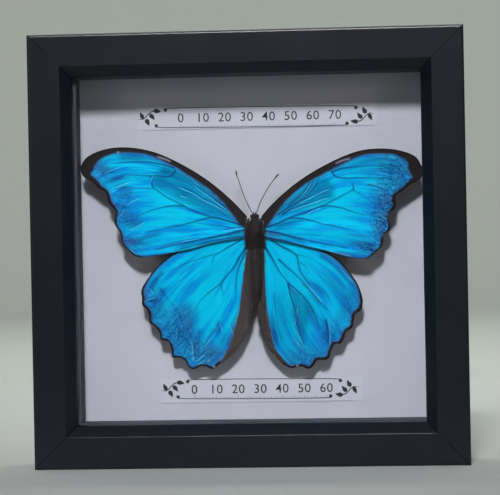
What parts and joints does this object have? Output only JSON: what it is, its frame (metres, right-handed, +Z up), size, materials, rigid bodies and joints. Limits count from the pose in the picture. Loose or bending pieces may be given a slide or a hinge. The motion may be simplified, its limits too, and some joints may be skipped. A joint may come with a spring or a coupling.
{
  "type": "framed butterfly specimen",
  "caption": "Blue morpho butterfly with spread wings, raised over a labelled white card behind glass in a deep square black shadow-box frame.",
  "frame": {"origin": "centre of the bottom edge's footprint, on the surface that the frame stands on", "axes": "+Z up, the glazed front faces -Y, +X to the right as seen from the front"},
  "size_m": [0.195, 0.036, 0.195],
  "materials": {
    "moulding": "satin black paint",
    "glazing": "clear glass",
    "spacer": "matt dark grey card",
    "card": "matt white card",
    "label": "matt paper",
    "panel": "bare fibreboard",
    "steel": "plain thin steel",
    "foam": "light foam",
    "insect_body": "matt, hairy",
    "wing": "metallic blue scales with a dark border"
  },
  "bodies": {
    "root": {"frame_rail_top": "moulding", "frame_rail_bottom": "moulding", "frame_rail_left": "moulding", "frame_rail_right": "moulding", "glass_pane": "glazing", "spacer_top": "spacer", "spacer_bottom": "spacer", "spacer_left": "spacer", "spacer_right": "spacer", "backing_card": "card", "label_upper": "label", "label_lower": "label", "back_panel": "panel", "retaining_point_1": "steel", "retaining_point_2": "steel", "retaining_point_3": "steel", "retaining_point_4": "steel", "retaining_point_5": "steel", "retaining_point_6": "steel", "retaining_point_7": "steel", "retaining_point_8": "steel", "hanger_plate": "steel", "hanger_nail_left": "steel", "hanger_nail_right": "steel", "mounting_block": "foam", "butterfly_body": "insect_body", "antenna_left": "insect_body", "antenna_right": "insect_body", "forewing_left": "wing", "forewing_right": "wing", "hindwing_left": "wing", "hindwing_right": "wing"}
  },
  "joints": []
}
